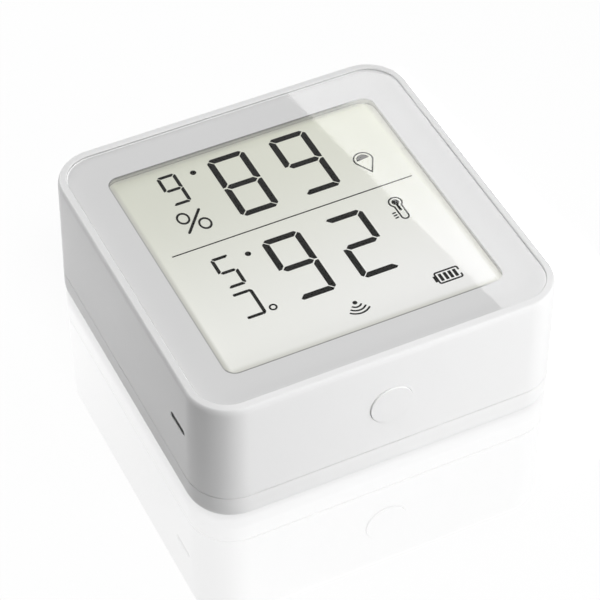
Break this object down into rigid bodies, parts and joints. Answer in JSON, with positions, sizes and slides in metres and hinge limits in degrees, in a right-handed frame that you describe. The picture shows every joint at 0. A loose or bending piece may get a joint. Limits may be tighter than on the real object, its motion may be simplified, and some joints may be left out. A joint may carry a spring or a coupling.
{
  "type": "temperature humidity sensor",
  "caption": "Square white battery sensor with a flush segment display, a round side button, an air slot and a rear cover that the unit pulls off to change its cells.",
  "frame": {"origin": "middle of the flat back face, which the sensor lies on", "axes": "+Z out of the display, -Y towards the wall with the button, -X towards the wall with the air slot"},
  "size_m": [0.0606, 0.0608, 0.024],
  "materials": {
    "white_plastic": "fine satin moulded plastic",
    "clear_plastic": "polished clear plastic",
    "pale_print": "pale grey printed adhesive frame",
    "display_film": "pale grey-green film",
    "display_glass": "clear glass",
    "silver_film": "satin silver film",
    "ivory_plastic": "satin moulded plastic",
    "strip_rubber": "matt layered silicone",
    "board_green": "green solder mask on glass fibre board",
    "tinned_sheet": "bright tinned steel",
    "black_plastic": "matt moulded compound",
    "orange_plastic": "satin moulded compound",
    "brown_ceramic": "matt ceramic",
    "grey_foam": "soft closed-cell foam",
    "cell_jacket": "satin plastic jacket over a steel can",
    "screw_steel": "zinc plated steel"
  },
  "bodies": {
    "cover": {"rear_cover": "white_plastic"},
    "unit": {"front_housing": "white_plastic", "lens": "clear_plastic", "lens_tape": "pale_print", "front_polarizer": "display_film", "lcd_front_glass": "display_glass", "lcd_rear_glass": "display_glass", "reflector": "silver_film", "lcd_frame": "ivory_plastic", "zebra_strips": "strip_rubber", "main_board": "board_green", "radio_board": "board_green", "radio_shield": "tinned_sheet", "driver_chip": "black_plastic", "crystal": "tinned_sheet", "capacitors": "orange_plastic", "chip_parts": "brown_ceramic", "humidity_sensor": "black_plastic", "sensor_gasket": "grey_foam", "switch_body": "black_plastic", "switch_cover": "tinned_sheet", "battery_tray": "white_plastic", "positive_contact": "tinned_sheet", "negative_contact": "tinned_sheet", "bridge_contact": "tinned_sheet", "contact_springs": "tinned_sheet", "cell_a": "cell_jacket", "cell_b": "cell_jacket", "tray_screws": "screw_steel"},
    "button": {"button_cap": "white_plastic"},
    "plunger": {"switch_plunger": "ivory_plastic"}
  },
  "joints": [
    {"name": "unit_pull_off", "type": "slide", "parent": "cover", "child": "unit", "axis": [0, 0, 1], "range_m": [0, 0.03]},
    {"name": "button_press", "type": "slide", "parent": "unit", "child": "button", "axis": [0, 1, 0], "range_m": [0, 0.0003], "stiffness_N_per_m": 1500, "springref_m": -0.0007},
    {"name": "plunger_slide", "type": "slide", "parent": "unit", "child": "plunger", "axis": [0, 1, 0], "range_m": [0, 0.0003]}
  ],
  "couplings": [
    {"joint": "plunger_slide", "follows": "button_press", "ratio": 1}
  ]
}
